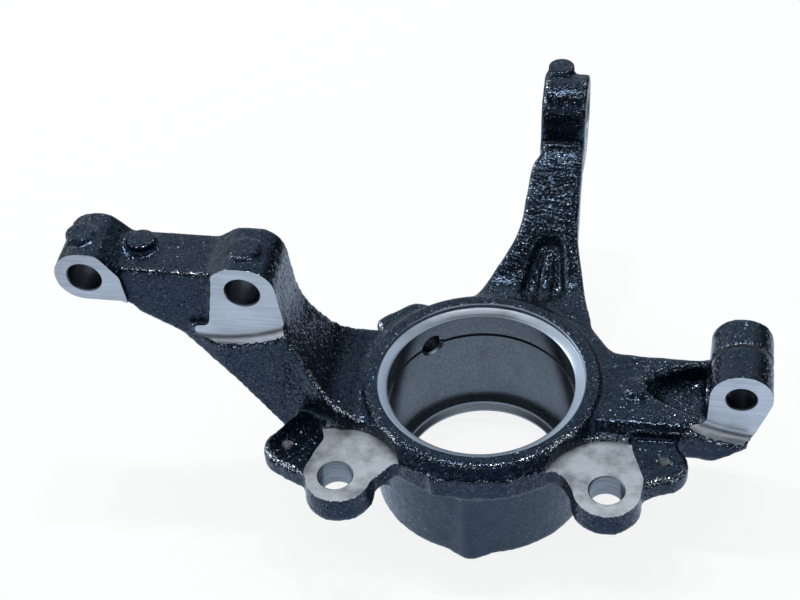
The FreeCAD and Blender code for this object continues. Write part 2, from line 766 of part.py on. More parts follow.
def ball_cuts():
    """Stud bore, its conical relief, the clamp slot, the pinch bolt hole and its milled face."""
    bore = cylinder("stud_bore", "x", "stud_radius", "pinch_x - clamp_left_x + 3 * clamp_radius",
                    ("clamp_left_x - 1", "stud_y", "stud_z"))
    scoop_plan = prism("stud_scoop_plan", "XY_Plane", [
        ("scoop_start_x", "scoop_y - scoop_start_half"),
        ("clamp_left_x", "scoop_y - scoop_end_half"),
        ("clamp_left_x", "scoop_y + scoop_end_half"),
        ("scoop_start_x", "scoop_y + scoop_start_half"),
    ], "pinch_z", "-ball_arm_bottom", {"scoop_round": [0, 1, 2, 3]})
    scoop_side = prism("stud_scoop_side", "XZ_Plane", [
        ("scoop_start_x - 1", "ball_arm_top"),
        ("(scoop_start_x * 2 + clamp_left_x) / 3", "scoop_floor + 1"),
        ("clamp_left_x", "scoop_floor"),
        ("clamp_left_x", "pinch_z"),
        ("scoop_start_x - 1", "pinch_z"),
    ], "scoop_end_half * 2", "scoop_end_half * 2", {"scoop_round * 2": [1]})
    relief = combine("Part::MultiCommon", "stud_scoop", [scoop_plan, scoop_side])
    hole = cylinder("pinch_hole", "y", "pinch_hole_radius", "clamp_wedge + clamp_back + 2",
                    ("pinch_x", "-clamp_wedge - 1", "pinch_z"))
    slot = doc.addObject("Part::Box", "clamp_slot")
    bind(slot, "Length", "clamp_radius * 4")
    bind(slot, "Width", "slot_width")
    bind(slot, "Height", "pinch_z + clamp_radius * 2 - stud_z")
    bind(slot, ".Placement.Base.x", "clamp_left_x - 2")
    bind(slot, ".Placement.Base.y", "stud_y - slot_width / 2")
    bind(slot, ".Placement.Base.z", "stud_z")
    mill = face_cutter("clamp_face_mill", ("clamp_mill_x", "-clamp_front", "clamp_mill_z"))
    return [bore, relief, hole, slot, mill]


hub_with_plate = combine("Part::MultiFuse", "hub_with_plate",
                         hub_form() + plate_form() + round_bosses())
limbs = combine("Part::MultiFuse", "limbs", strut_arm_form() + steering_arm_form() + ball_arm_form())
casting = combine("Part::MultiFuse", "casting", [hub_with_plate, limbs, sensor_boss_form()])
raw_form = combine("Part::MultiFuse", "raw_form", [casting] + pad_forms())

cuts = [bearing_void()] + lug_cuts() + strut_cuts() + steering_cuts() + ball_cuts()
cuts.append(radial("sensor_hole", "sensor_hole_radius", "sensor_reach * 1.5"))
machining = combine("Part::MultiFuse", "machining", cuts)

knuckle = doc.addObject("Part::Cut", "knuckle")
knuckle.Label = "knuckle"
knuckle.Base = raw_form
knuckle.Tool = machining
knuckle.Refine = False
bind(knuckle, ".Placement.Base.z", "(circlip_depth + circlip_width + hub_depth - lip_height) / 2")
doc.recompute()

for item in doc.Objects:
    if "Invalid" in item.State or "Error" in item.State:
        raise RuntimeError("failed: " + item.Name)
if knuckle.Shape.isNull() or not knuckle.Shape.isValid() or len(knuckle.Shape.Solids) != 1:
    raise RuntimeError("the knuckle is not one valid solid")
os.makedirs("parts", exist_ok=True)
knuckle.Shape.Solids[0].exportStep("parts/" + knuckle.Label + ".step")
print("volume", knuckle.Shape.Volume, knuckle.Shape.BoundBox)
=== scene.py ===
import json
import math

import bmesh
import bpy
import numpy as np
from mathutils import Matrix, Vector, noise


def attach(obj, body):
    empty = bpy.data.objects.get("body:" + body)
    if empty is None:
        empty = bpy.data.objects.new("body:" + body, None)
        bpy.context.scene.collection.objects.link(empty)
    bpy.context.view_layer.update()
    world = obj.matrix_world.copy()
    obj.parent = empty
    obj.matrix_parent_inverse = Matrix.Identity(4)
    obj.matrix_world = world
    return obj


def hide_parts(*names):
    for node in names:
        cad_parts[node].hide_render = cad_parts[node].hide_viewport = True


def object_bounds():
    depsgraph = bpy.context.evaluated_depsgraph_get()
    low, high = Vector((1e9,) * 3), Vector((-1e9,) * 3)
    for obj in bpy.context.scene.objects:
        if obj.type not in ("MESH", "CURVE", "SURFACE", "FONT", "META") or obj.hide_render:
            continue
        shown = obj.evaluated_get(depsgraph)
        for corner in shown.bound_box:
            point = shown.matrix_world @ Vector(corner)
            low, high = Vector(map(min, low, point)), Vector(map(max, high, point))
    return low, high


MM = 0.001
NODE = "knuckle"
WHITE = (1, 1, 1, 1)

# Levels and radii of the machined features in millimetres. Places come from the record's mounts.
RIM_Z = 35.7
FOOT_Z = -24.3
MOUTH_RADIUS = 44.2
SEAT_RADIUS = 40.0
MOUTH_EDGE = 0.7
MOUTH_EDGE_DEPTH = 0.5
MOUTH_STEP = 1.9
MOUTH_LEDGE_RADIUS = 41.0
MOUTH_LEDGE_DEPTH = 2.75
MOUTH_DEPTH = 3.6
CIRCLIP_TOP = 21.6
CIRCLIP_BOTTOM = 20.2
CIRCLIP_CUT = 1.8
SEAT_BOTTOM = -19.9
RELIEF_RADIUS = 36.8
RELIEF_BOTTOM = -21.5
LIP_RADIUS = 35.0
SPOT_RADIUS = 26.3
MILL_RADIUS = 71.0
MILL_ROUND = 4.0
MILL_LENGTH = 40
STRUT_MILL = (-109.7, 133.7)
STRUT_MILL_END = 17.0
CLAMP_MILL = (121.0, 96.2)
HOLE_CHAMFER = 0.5
HOLE_OVERSHOOT = 3
PLUG_OVERSIZE = 0.3
THREAD_PITCH = 1.0
THREAD_DEPTH = 0.45
SLOT_WIDTH = 2.0
SLOT_LEFT = 92.5
SLOT_RIGHT = 140.0
TIE_SMALL = 6.15
TIE_LARGE = 7.45
TIE_HALF_LENGTH = 12
TIE_SEAT_RADIUS = 11.0
SENSOR_FLARE = 1.0
PAD_HEIGHT = 7.0
PAD_ROUND = 1.1
STOCK = 1.8
STOCK_ROOT = 0.5
VOXEL = 1.1
FLAT_MATERIALS = ("milled_face", "spot_face")
SHARP_ANGLE = math.radians(32)

# Painted glints, bright bare-metal specks that stand in for highlights: how far a raised edge stands
# out in millimetres where they start, over how much more they are full, and how much some places get
# at least.
GLINT_EDGE_START = 0.03
GLINT_EDGE_SPAN = 0.10
GLINT_FLOOR = 0.2

# Uneven cast skin: (wavelength, depth) in millimetres.
SKIN = [(9, 0.10), (3, 0.06)]

# Places of the casting as two corners in millimetres.
SCOOP = ((64, -18, 12), (94, 24, 60))
POCKET = ((3, 46, 18), (38, 88, 70))
STEERING_ARM = ((-20, 48, 24), (60, 142, 120))

# Round cast pads: middle of the top face and radius.
PADS = [((-162.7, -3.0, 107.4), 6.0), ((-139.5, 2.8, 100.7), 6.0), ((-94.0, -3.0, 104.8), 6.0),
        ((65.5, 1.5, 35.3), 4.8), ((20.2, 153.0, 86.5), 6.0)]

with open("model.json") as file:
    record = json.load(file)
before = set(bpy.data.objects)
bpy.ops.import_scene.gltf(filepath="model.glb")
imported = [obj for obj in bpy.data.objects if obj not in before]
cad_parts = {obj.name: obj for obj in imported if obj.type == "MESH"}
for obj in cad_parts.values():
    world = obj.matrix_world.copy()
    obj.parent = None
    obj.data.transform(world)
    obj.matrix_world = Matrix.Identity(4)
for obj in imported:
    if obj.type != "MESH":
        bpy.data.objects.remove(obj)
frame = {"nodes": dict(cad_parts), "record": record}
cad_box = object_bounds()
cad = frame["nodes"][NODE]
mounts = {mount["name"]: mount for mount in frame["record"]["mounts"]}


def place_of(name):
    return Vector(mounts[name]["pos_m"]) / MM


def radius_of(name):
    return mounts[name]["dims"]["r_mm"]


def length_of(name):
    return mounts[name]["dims"]["length_mm"]


def mesh_object(name, points, faces):
    """An object from points in millimetres."""
    mesh = bpy.data.meshes.new(name)
    mesh.from_pydata([(x * MM, y * MM, z * MM) for x, y, z in points], [], faces)
    mesh.validate()
    piece = bpy.data.objects.new(name, mesh)
    bpy.context.scene.collection.objects.link(piece)
    bm = bmesh.new()
    bm.from_mesh(mesh)
    bmesh.ops.recalc_face_normals(bm, faces=bm.faces)
    bm.to_mesh(mesh)
    bm.free()
    return piece


def basis(axis):
    """Two directions square to the axis."""
    axis = Vector(axis).normalized()
    side = axis.orthogonal().normalized()
    return side, axis.cross(side)


def turned(name, centre, axis, profile, count=96):
    """A closed solid of revolution: (radius, height along the axis) pairs, from axis to axis."""
    side, up = basis(axis)
    axis = Vector(axis).normalized()
    centre = Vector(centre)
    points = []
    faces = []
    rings = []
    for radius, height in profile:
        if radius == 0:
            rings.append([len(points)])
            points.append(centre + axis * height)
            continue
        rings.append(list(range(len(points), len(points) + count)))
        for step in range(count):
            turn = 2 * math.pi * step / count
            spoke = side * math.cos(turn) + up * math.sin(turn)
            points.append(centre + axis * height + spoke * radius)
    for low, high in zip(rings, rings[1:]):
        for step in range(count):
            after = (step + 1) % count
            if len(low) == 1:
                faces.append((low[0], high[step], high[after]))
            elif len(high) == 1:
                faces.append((low[step], high[0], low[after]))
            else:
                faces.append((low[step], high[step], high[after], low[after]))
    return mesh_object(name, points, faces)


def rod(name, centre, axis, radius, length, count=64):
    half = length / 2
    return turned(name, centre, axis, [(0, -half), (radius, -half), (radius, half), (0, half)], count)


def prism(name, outline, along, low, high):
    """A prism over an outline in the plane square to one axis: along is x, y or z."""
    order = {"x": (2, 0, 1), "y": (0, 2, 1), "z": (0, 1, 2)}[along]

    def point(pair, level):
        values = (pair[0], pair[1], level)
        return tuple(values[index] for index in order)
    count = len(outline)
    points = [point(pair, low) for pair in outline] + [point(pair, high) for pair in outline]
    faces = [tuple(range(count)), tuple(range(2 * count - 1, count - 1, -1))]
    for step in range(count):
        after = (step + 1) % count
        faces.append((step, after, after + count, step + count))
    return mesh_object(name, points, faces)


def join(pieces):
    """Puts the meshes of several pieces into the first."""
    bm = bmesh.new()
    for piece in pieces:
        bm.from_mesh(piece.data)
    bm.to_mesh(pieces[0].data)
    bm.free()
    for piece in pieces[1:]:
        bpy.data.objects.remove(piece)
    return pieces[0]


def apply_modifiers(piece):
    graph = bpy.context.evaluated_depsgraph_get()
    mesh = bpy.data.meshes.new_from_object(piece.evaluated_get(graph))
    piece.modifiers.clear()
    piece.data = mesh


def remesh(piece, size):
    modifier = piece.modifiers.new("remesh", "REMESH")
    modifier.mode = "VOXEL"
    modifier.voxel_size = size * MM
    apply_modifiers(piece)


def cut(piece, cutter):
    """Cuts the cutter's shape out of the piece; the new faces keep the cutter's material."""
    modifier = piece.modifiers.new("cut", "BOOLEAN")
    modifier.object = cutter
    modifier.operation = "DIFFERENCE"
    modifier.solver = "MANIFOLD"
    modifier.material_mode = "TRANSFER"
    apply_modifiers(piece)
    bpy.data.objects.remove(cutter)


def unite(piece, other):
    modifier = piece.modifiers.new("unite", "BOOLEAN")
    modifier.object = other
    modifier.operation = "UNION"
    modifier.solver = "MANIFOLD"
    apply_modifiers(piece)
    bpy.data.objects.remove(other)


def arrays(mesh):
    """Points and edges of a mesh."""
    points = np.empty(len(mesh.vertices) * 3)
    mesh.vertices.foreach_get("co", points)
    edges = np.empty(len(mesh.edges) * 2, dtype=np.int64)
    mesh.edges.foreach_get("vertices", edges)
    return points.reshape(-1, 3), edges.reshape(-1, 2)


def degrees_of(points, edges):
    """How many neighbours each point has."""
    return np.bincount(edges.ravel(), minlength=len(points)).astype(float)[:, None]


def smooth(piece, rounds, strength):
    """Evens the surface out: each point moves towards the mean of its neighbours."""
    mesh = piece.data
    points, edges = arrays(mesh)
    degree = degrees_of(points, edges)
    for factor in strength * rounds:
        points += factor * (neighbour_mean(points, edges, degree) - points)
    mesh.vertices.foreach_set("co", points.ravel())
    mesh.update()


def directions(mesh):
    normals = np.empty(len(mesh.vertices) * 3)
    mesh.vertex_normals.foreach_get("vector", normals)
    return normals.reshape(-1, 3)


def neighbour_mean(points, edges, degree):
    mean = np.zeros_like(points)
    for column in range(3):
        mean[:, column] = (np.bincount(edges[:, 0], points[edges[:, 1], column], len(points))
                           + np.bincount(edges[:, 1], points[edges[:, 0], column], len(points)))
    return mean / degree


def inside(points, box):
    """Which points lie in a box of two corners in millimetres."""
    low, high = np.array(box) * MM
    return ((points > low) & (points < high)).all(axis=1)


def round_corners(piece, side, radius, places, rounds):
    """Rounds corners as in a casting, hollow ones for side 1 and raised ones for side -1.

    Points that turn tighter than the radius move to the mean of their neighbours. Each place is a
    box with a radius of its own."""
    mesh = piece.data
    points, edges = arrays(mesh)
    degree = degrees_of(points, edges)
    reach = np.full(len(points), float(radius))
    for box, other in places:
        reach[inside(points, box)] = other
    enough = (VOXEL * MM) ** 2 / (4 * reach * MM)
    for _ in range(rounds):
        offset = neighbour_mean(points, edges, degree) - points
        tight = side * (offset * directions(mesh)).sum(axis=1) > enough
        points[tight] += 0.6 * offset[tight]
        mesh.vertices.foreach_set("co", points.ravel())
        mesh.update()


def mark_glint_specks(piece):
    """Marks the painted glints, bright bare-metal specks that stand in for highlights, as a point
    attribute.

    That is on raised edges that look up and to the front, and a little on some upper faces."""
    mesh = piece.data
    points, edges = arrays(mesh)
    degree = degrees_of(points, edges)
    normals = directions(mesh)
    rise = ((neighbour_mean(points, edges, degree) - points) * normals).sum(axis=1)
    sharp = np.clip((-rise / MM - GLINT_EDGE_START) / GLINT_EDGE_SPAN, 0, 1)
    sharp *= np.clip((normals[:, 2] - 0.1) / 0.4, 0, 1)
    sharp *= np.clip((0.15 - normals[:, 1]) / 0.3, 0, 1)
    for _ in range(2):
        spread = np.bincount(edges[:, 0], sharp[edges[:, 1]], len(points))
        spread += np.bincount(edges[:, 1], sharp[edges[:, 0]], len(points))
        sharp = np.maximum(sharp, spread / degree[:, 0])
    # The upper faces of the steering arm and the scoop get a least amount of painted glint.
    for box in (STEERING_ARM, SCOOP):
        painted_light_place = inside(points, box) & (normals[:, 2] > 0.5)
        sharp[painted_light_place] = np.maximum(sharp[painted_light_place], GLINT_FLOOR)
    mesh.attributes.new("worn", "FLOAT", "POINT").data.foreach_set("value", sharp)


def roughen(piece, layers):
    """Uneven cast skin: layers of (wavelength, depth) in millimetres move the points in and out."""
    mesh = piece.data
    points, _ = arrays(mesh)
    normals = directions(mesh)
    shift = np.zeros(len(points))
    for length, depth in layers:
        shift += [depth * MM * noise.noise(Vector(point)) for point in points / (length * MM)]
    points += normals * shift[:, None]
    mesh.vertices.foreach_set("co", points.ravel())
    mesh.update()


def node_material(name):
    material = bpy.data.materials.new(name)
    material.use_nodes = True
    tree = material.node_tree
    return material, tree, tree.nodes["Principled BSDF"]


def add(tree, kind, values=None, **links):
    """A node with its settings and input values, and its inputs linked by name."""
    node = tree.nodes.new(kind)
    for key, value in (values or {}).items():
        if hasattr(node, key):
            setattr(node, key, value)
        else:
            node.inputs[key].default_value = value
    for key, source in links.items():
        tree.links.new(source, node.inputs[key.replace("_", " ")])
    return node


def ramp(tree, source, stops):
    """A colour ramp of (position, colour) stops."""
    node = add(tree, "ShaderNodeValToRGB", Fac=source)
    elements = node.color_ramp.elements
    elements[0].position, elements[0].color = stops[0]
    elements[1].position, elements[1].color = stops[-1]
    for position, color in stops[1:-1]:
        elements.new(position).color = color
    return node


def grey(value):
    return (value, value, value, 1)


def cast_paint():
    """Glossy black paint over coarse cast skin, with tiny facets that flash in the light, painted
    glints of bright metal and a lighter lower body as painted light.
    """
    material, tree, shader = node_material("cast_paint")
    place = add(tree, "ShaderNodeTexCoord").outputs["Object"]
    patches = add(tree, "ShaderNodeTexNoise", {"Scale": 45, "Detail": 3}, Vector=place)
    tone = ramp(tree, patches.outputs["Fac"], [(0.35, (0.0010, 0.0020, 0.0040, 1)),
                                               (0.65, (0.0020, 0.0045, 0.0090, 1))])
    grain = add(tree, "ShaderNodeTexNoise", {"Scale": 1000, "Detail": 2, "Roughness": 0.6},
                Vector=place)
    lumps = add(tree, "ShaderNodeTexNoise", {"Scale": 420, "Detail": 2, "Roughness": 0.5},
                Vector=place)
    level = add(tree, "ShaderNodeSeparateXYZ", Vector=place).outputs["Z"]
    rough = add(tree, "ShaderNodeMapRange", {"From Min": 0.010, "From Max": 0.026, "To Min": 0.35,
                                             "To Max": 1.0}, Value=level)
    above = add(tree, "ShaderNodeMapRange", {"From Min": 0.016, "From Max": 0.022, "To Min": 0.8,
                                             "To Max": 1.0}, Value=level)
    first = add(tree, "ShaderNodeBump", {"Distance": 0.00028},
                Height=lumps.outputs["Fac"], Strength=rough.outputs["Result"])
    second = add(tree, "ShaderNodeBump", {"Distance": 0.00010},
                 Height=grain.outputs["Fac"], Strength=rough.outputs["Result"],
                 Normal=first.outputs["Normal"])
    warp = add(tree, "ShaderNodeVectorMath", {"operation": "SCALE", "Scale": 0.001},
               Vector=grain.outputs["Color"])
    shaken = add(tree, "ShaderNodeVectorMath", {"operation": "ADD"})
    tree.links.new(place, shaken.inputs[0])
    tree.links.new(warp.outputs[0], shaken.inputs[1])
    facets = add(tree, "ShaderNodeTexVoronoi", {"Scale": 900}, Vector=shaken.outputs[0])
    centred = add(tree, "ShaderNodeVectorMath", {"operation": "SUBTRACT"})
    centred.inputs[1].default_value = (0.5, 0.5, 0.5)
    tree.links.new(facets.outputs["Color"], centred.inputs[0])
    share = add(tree, "ShaderNodeMapRange", {"From Min": 0.36, "From Max": 0.46, "To Min": 0.8,
                                             "To Max": 0.0}, Value=facets.outputs["Distance"])
    flatter = add(tree, "ShaderNodeMath", {"operation": "MULTIPLY"})
    tree.links.new(share.outputs["Result"], flatter.inputs[0])
    tree.links.new(rough.outputs["Result"], flatter.inputs[1])
    tilt = add(tree, "ShaderNodeVectorMath", {"operation": "SCALE"},
               Vector=centred.outputs[0], Scale=flatter.outputs[0])
    tilted = add(tree, "ShaderNodeVectorMath", {"operation": "ADD"})
    tree.links.new(second.outputs["Normal"], tilted.inputs[0])
    tree.links.new(tilt.outputs[0], tilted.inputs[1])
    normal = add(tree, "ShaderNodeVectorMath", {"operation": "NORMALIZE"}, Vector=tilted.outputs[0])
    # Painted glints: bright bare-metal specks from the edge attribute and a noise, a little fewer low
    # on the hub, stand in for highlights.
    worn = add(tree, "ShaderNodeAttribute", {"attribute_name": "worn"}).outputs["Fac"]
    glint_noise = add(tree, "ShaderNodeTexNoise", {"Scale": 1300, "Detail": 2, "Roughness": 0.6},
                Vector=place)
    glint_amount = add(tree, "ShaderNodeMath", {"operation": "MULTIPLY_ADD"})
    glint_amount.inputs[1].default_value = 0.25
    tree.links.new(worn, glint_amount.inputs[0])
    specks = add(tree, "ShaderNodeMath", {"operation": "MULTIPLY"})
    tree.links.new(glint_noise.outputs["Fac"], specks.inputs[0])
    tree.links.new(above.outputs["Result"], specks.inputs[1])
    tree.links.new(specks.outputs[0], glint_amount.inputs[2])
    glint_mask = add(tree, "ShaderNodeMapRange", {"From Min": 0.70, "From Max": 0.76},
               Value=glint_amount.outputs[0])
    # The light metal colour of the painted glints.
    surface = add(tree, "ShaderNodeMix", {"data_type": "RGBA"})
    surface.inputs["B"].default_value = (0.66, 0.70, 0.74, 1)
    # Painted light: the hub's lower body, below 18 mm, gets a lighter paint colour that stands in for
    # the soft light on it.
    painted_light_place = add(tree, "ShaderNodeMapRange", {"From Min": 0.0180, "From Max": 0.0195, "To Min": 1.0,
                                            "To Max": 0.0}, Value=level)
    body = add(tree, "ShaderNodeMix", {"data_type": "RGBA"})
    body.inputs["B"].default_value = (0.017, 0.024, 0.033, 1)
    tree.links.new(painted_light_place.outputs["Result"], body.inputs["Factor"])
    tree.links.new(tone.outputs["Color"], body.inputs["A"])
    tree.links.new(glint_mask.outputs["Result"], surface.inputs["Factor"])
    tree.links.new(body.outputs["Result"], surface.inputs["A"])
    tree.links.new(surface.outputs["Result"], shader.inputs["Base Color"])
    tree.links.new(glint_mask.outputs["Result"], shader.inputs["Metallic"])
    gloss = add(tree, "ShaderNodeMapRange", {"To Min": 0.12, "To Max": 0.22},
                Value=glint_mask.outputs["Result"])
    tree.links.new(gloss.outputs["Result"], shader.inputs["Roughness"])
    tree.links.new(normal.outputs[0], shader.inputs["Normal"])
    shader.inputs["Specular IOR Level"].default_value = 0.5
    shader.inputs["Specular Tint"].default_value = (0.42, 0.64, 1.0, 1)
    return material


def machined_metal(name, color, roughness, grain, marks, clouds):
    """Bare iron with cutter marks.

    Grain is how fine the marks are along x, y and z, per metre; marks and clouds are how dark the
    marks and the stains are, from 0 to 1."""
    material, tree, shader = node_material(name)
    place = add(tree, "ShaderNodeTexCoord").outputs["Object"]
    stretched = add(tree, "ShaderNodeMapping", {"Scale": grain}, Vector=place)
    lines = add(tree, "ShaderNodeTexNoise", {"Scale": 1, "Detail": 3, "Roughness": 0.6},
                Vector=stretched.outputs["Vector"])
    spread = add(tree, "ShaderNodeTexNoise", {"Scale": 70, "Detail": 5, "Roughness": 0.6},
                 Vector=place)
    dark = [part * (1 - clouds) for part in color] + [1]
    stain = ramp(tree, spread.outputs["Fac"], [(0.38, dark), (0.56, (*color, 1))])
    streak = ramp(tree, lines.outputs["Fac"], [(0.25, grey(1 - marks)), (0.6, grey(1))])
    surface = add(tree, "ShaderNodeMix", {"data_type": "RGBA", "blend_type": "MULTIPLY"})
    surface.inputs["Factor"].default_value = 1.0
    tree.links.new(stain.outputs["Color"], surface.inputs["A"])
    tree.links.new(streak.outputs["Color"], surface.inputs["B"])
    tree.links.new(surface.outputs["Result"], shader.inputs["Base Color"])
    wear = add(tree, "ShaderNodeMapRange", {"To Min": roughness - 0.1, "To Max": roughness + 0.12},
               Value=spread.outputs["Fac"])
    tree.links.new(wear.outputs["Result"], shader.inputs["Roughness"])
    bump = add(tree, "ShaderNodeBump", {"Strength": 0.35, "Distance": 0.00005},
               Height=lines.outputs["Fac"])
    tree.links.new(bump.outputs["Normal"], shader.inputs["Normal"])
    shader.inputs["Metallic"].default_value = 1.0
    return material


def ground_round(material):
    """Draws the highlights of a ground bore out along its axis."""
    tree = material.node_tree
    shader = tree.nodes["Principled BSDF"]
    around = add(tree, "ShaderNodeTangent", {"direction_type": "RADIAL", "axis": "Z"})
    tree.links.new(around.outputs[0], shader.inputs["Tangent"])
    shader.inputs["Anisotropic"].default_value = 0.6
    shader.inputs["Anisotropic Rotation"].default_value = 0.25


PAINT = cast_paint()
MILLED = machined_metal("milled_face", (0.64, 0.66, 0.69), 0.38, (40, 900, 900), 0.25, 0.12)
SPOT_FACED = machined_metal("spot_face", (0.37, 0.395, 0.42), 0.34, (300, 900, 500), 0.15, 0.45)
MOUTH = machined_metal("bore_mouth", (0.42, 0.48, 0.55), 0.30, (60, 60, 1500), 0.10, 0.05)
BORED = machined_metal("ground_bore", (0.17, 0.185, 0.20), 0.24, (900, 900, 900), 0.45, 0.15)
SHOULDER = machined_metal("bore_shoulder", (0.30, 0.32, 0.34), 0.3, (60, 60, 1500), 0.3, 0.05)
# Drilled iron in two copies: darker in the holes across, as painted shade, and lighter in the holes
# drilled down and the stud bore, as painted light.
DRILLED_SHADED = machined_metal("drilled_across", (0.16, 0.17, 0.19), 0.32, (60, 1600, 60), 0.5, 0.1)
DRILLED_LIT = machined_metal("drilled_down", (0.30, 0.32, 0.34), 0.32, (60, 60, 1600), 0.5, 0.1)
THREAD = machined_metal("thread", (0.26, 0.27, 0.28), 0.26, (400, 400, 400), 0.2, 0.2)
ground_round(BORED)


def stock_on(axis, level, inside):
    """Closed slab over the CAD faces that lie in one machined plane, standing proud of it."""
    mesh = cad.data
    normal = Vector(axis)
    bm = bmesh.new()
    bm.from_mesh(mesh)
    drop = []
    for face in bm.faces:
        centre = face.calc_center_median() / MM
        flat = face.normal.dot(normal) > 0.999 and abs(centre.dot(normal) - level) < 0.02
        if not (flat and inside(centre)):
            drop.append(face)
    bmesh.ops.delete(bm, geom=drop, context="FACES")
    top = bmesh.ops.extrude_face_region(bm, geom=bm.faces[:] + bm.edges[:] + bm.verts[:],
                                        use_keep_orig=True)
    moved = [item for item in top["geom"] if isinstance(item, bmesh.types.BMVert)]
    bmesh.ops.translate(bm, verts=moved, vec=normal * STOCK * MM)
    bmesh.ops.translate(bm, verts=[vert for vert in bm.verts if vert not in set(moved)],
                        vec=normal * -STOCK_ROOT * MM)
    bmesh.ops.recalc_face_normals(bm, faces=bm.faces)
    slab = bpy.data.meshes.new("stock")
    bm.to_mesh(slab)
    bm.free()
    piece = bpy.data.objects.new("stock", slab)
    bpy.context.scene.collection.objects.link(piece)
    return piece


def blank():
    """The casting before it is machined: the CAD form with plugged bores and its faces proud."""
    body = bpy.data.objects.new("knuckle_casting", cad.data.copy())
    bpy.context.scene.collection.objects.link(body)
    middle = (RIM_Z + FOOT_Z) / 2
    pieces = [body, rod("plug", (0, 0, middle), (0, 0, 1), MOUTH_RADIUS + 1, RIM_Z - FOOT_Z)]
    for name in ("strut_bolt_upper", "strut_bolt_lower", "caliper_bolt_left", "caliper_bolt_right",
                 "shield_screw_left", "shield_screw_right"):
        pieces.append(rod("plug", place_of(name), mounts[name]["axis"],
                          radius_of(name) + PLUG_OVERSIZE, length_of(name), 32))
    lug_level = place_of("caliper_bolt_left").z + length_of("caliper_bolt_left") / 2
    for name in ("caliper_bolt_left", "caliper_bolt_right"):
        pieces.append(stock_on((0, 0, 1), lug_level,
                               lambda centre, spot=place_of(name):
                               (centre - spot).to_2d().length < SPOT_RADIUS + 1))
    strut = place_of("strut_bolt_upper")
    front = strut.y - length_of("strut_bolt_upper") / 2
    pieces.append(stock_on((0, -1, 0), -front, lambda centre: centre.x < -60))
    pinch = place_of("pinch_bolt")
    pieces.append(rod("plug", pinch, (0, 1, 0), radius_of("pinch_bolt") + PLUG_OVERSIZE,
                      length_of("pinch_bolt"), 32))
    pieces.append(stock_on((0, -1, 0), -(pinch.y - length_of("pinch_bolt") / 2),
                           lambda centre: centre.x > 60))
    body = join(pieces)
    remesh(body, VOXEL)
    return body


def pad(top, radius):
    """Round cast pad with a softened upper rim."""
    wall = [(radius, level) for level in np.linspace(-PAD_HEIGHT, -PAD_ROUND, 6)]
    profile = [(0, -PAD_HEIGHT)] + wall
    for step in range(1, 5):
        turn = math.pi / 2 * step / 4
        profile.append((radius - PAD_ROUND + PAD_ROUND * math.cos(turn),
                        -PAD_ROUND + PAD_ROUND * math.sin(turn)))
    profile += [(radius * part, 0) for part in (0.6, 0.4, 0.2)] + [(0, 0)]
    piece = turned("pad", top, (0, 0, 1), profile, 48)
    roughen(piece, SKIN)
    return piece


casting = blank()
smooth(casting, 3, [0.5, -0.52])
round_corners(casting, 1, 4, [(SCOOP, 12), (POCKET, 9)], 40)
round_corners(casting, -1, 2.2, [(STEERING_ARM, 5), (SCOOP, 4)], 16)
roughen(casting, SKIN)
for top, radius in PADS:
    unite(casting, pad(top, radius))
casting.data.materials.clear()
casting.data.materials.append(PAINT)
casting.data.polygons.foreach_set("material_index", [0] * len(casting.data.polygons))


def machine(cutter, material):
    """Cuts the casting; the new faces get the material."""
    cutter.data.materials.append(material)
    cut(casting, cutter)


def face_mill(name, centre, axis, radius, corner):
    """Round cutter standing with its flat end at the centre, its rim rounded by the corner."""
    profile = [(0, 0), (radius - corner, 0)]
    steps = 8
    for step in range(1, steps + 1):
        turn = math.pi / 2 * step / steps
        profile.append((radius - corner + corner * math.sin(turn),
                        corner - corner * math.cos(turn)))
    profile += [(radius, MILL_LENGTH), (0, MILL_LENGTH)]
    return turned(name, centre, axis, profile, 192)


def hole(name, material):
    """Drilled hole of a mount with a small chamfer at both faces."""
    half = length_of(name) / 2
    end = half + HOLE_OVERSHOOT
    radius = radius_of(name)
    wide = radius + HOLE_CHAMFER
    profile = [(0, -end), (wide, -end), (wide, -half), (radius, -half + HOLE_CHAMFER),
               (radius, half - HOLE_CHAMFER), (wide, half), (wide, end), (0, end)]
    machine(turned(name, place_of(name), mounts[name]["axis"], profile, 64), material)


def tapped(name):
    """Tapped hole: grooves one pitch apart in its wall."""
    half = length_of(name) / 2
    radius = radius_of(name)
    wide = radius + 0.6
    profile = [(0, -half - 2), (radius, -half - 2)]
    level = -half
    while level < half:
        profile += [(radius, level), (radius + THREAD_DEPTH, level + THREAD_PITCH * 0.45),
                    (radius, level + THREAD_PITCH * 0.9)]
        level += THREAD_PITCH
    profile += [(radius, half - 0.1), (wide, half + 0.5), (wide, half + HOLE_OVERSHOOT),
                (0, half + HOLE_OVERSHOOT)]
    machine(turned(name, place_of(name), mounts[name]["axis"], profile, 40), THREAD)


